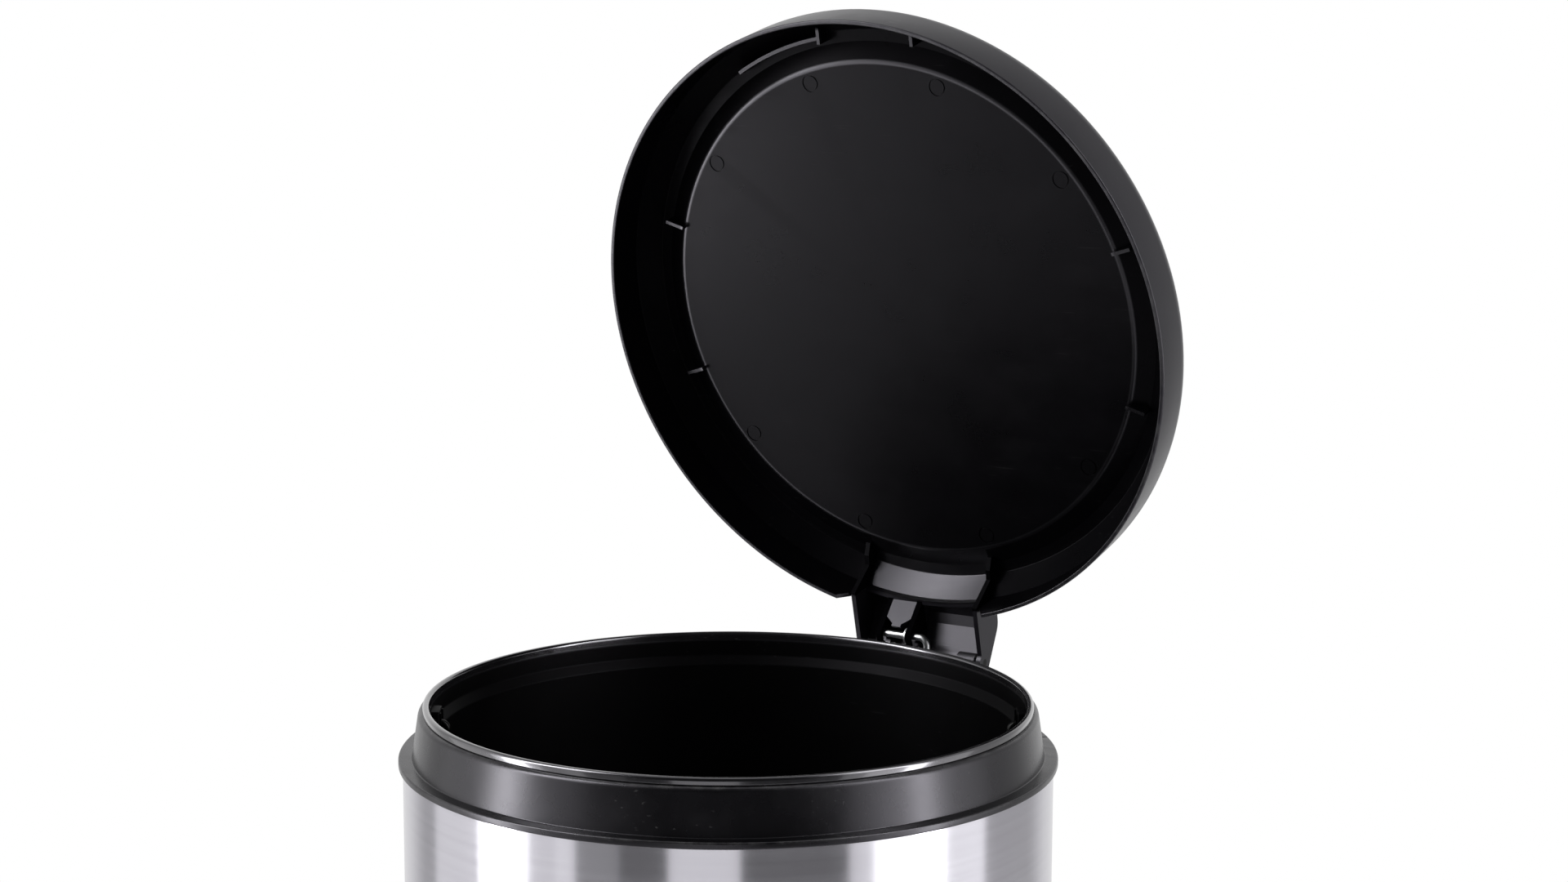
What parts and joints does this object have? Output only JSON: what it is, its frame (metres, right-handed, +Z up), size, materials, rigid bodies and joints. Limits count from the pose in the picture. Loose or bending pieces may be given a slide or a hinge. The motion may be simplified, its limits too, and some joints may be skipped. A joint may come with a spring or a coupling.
{
  "type": "step trash can",
  "caption": "Round step bin with a brushed steel body, black plastic base, collar and inner bucket with a bail, and a hinged domed lid held open by its pedal rod.",
  "frame": {"origin": "on the floor under the middle of the round body", "axes": "+Z up along the body's axis, the lid's hinge at +Y, the pedal at -Y"},
  "size_m": [0.3006, 0.3932, 0.9365],
  "materials": {
    "steel_skin": "satin, brushed round the body",
    "collar_plastic": "satin black",
    "lid_plastic": "satin charcoal",
    "bucket_plastic": "half gloss black",
    "base_plastic": "satin black",
    "feet_rubber": "matt",
    "pad_rubber": "matt, ribbed",
    "wire_steel": "zinc plated wire",
    "lever_steel": "zinc plated sheet",
    "small_steel": "zinc plated"
  },
  "bodies": {
    "bin_body": {"steel_body": "steel_skin", "base_ring": "base_plastic", "foot_ring": "feet_rubber", "collar": "collar_plastic", "hinge_housing": "base_plastic", "housing_screws": "small_steel", "pivot_bracket": "lever_steel", "bracket_screws": "small_steel", "lever_pivot_pin": "small_steel", "pivot_clips": "small_steel", "rod_guides": "base_plastic", "inner_bucket": "bucket_plastic"},
    "lid_body": {"lid": "lid_plastic", "hinge_arm": "lid_plastic", "hinge_pins": "small_steel"},
    "pedal_body": {"pedal_lever": "lever_steel", "pedal_pad": "pad_rubber", "pad_rivets": "small_steel"},
    "rod_body": {"push_rod": "wire_steel", "rod_clip": "small_steel"},
    "bail_body": {"bail_wire": "wire_steel", "bail_grip": "bucket_plastic"}
  },
  "joints": [
    {"name": "lid_hinge", "type": "hinge", "parent": "bin_body", "child": "lid_body", "pos_m": [0, 0.173, 0.62], "axis": [-1, 0, 0], "range_deg": [-76.2, 0]},
    {"name": "pedal_pivot", "type": "hinge", "parent": "bin_body", "child": "pedal_body", "pos_m": [0, 0.02, 0.022], "axis": [1, 0, 0], "range_deg": [-6.17, 0]},
    {"name": "rod_slide", "type": "slide", "parent": "bin_body", "child": "rod_body", "axis": [0, 0, 1], "range_m": [-0.0126, 0]},
    {"name": "bail_swing", "type": "hinge", "parent": "bin_body", "child": "bail_body", "pos_m": [0, 0, 0.6217], "axis": [0.8425, 0.5388, 0], "range_deg": [-50, 50]}
  ],
  "couplings": [
    {"joint": "pedal_pivot", "follows": "lid_hinge", "ratio": 0.080944},
    {"joint": "rod_slide", "follows": "lid_hinge", "m_per_rad": 0.0094705}
  ]
}
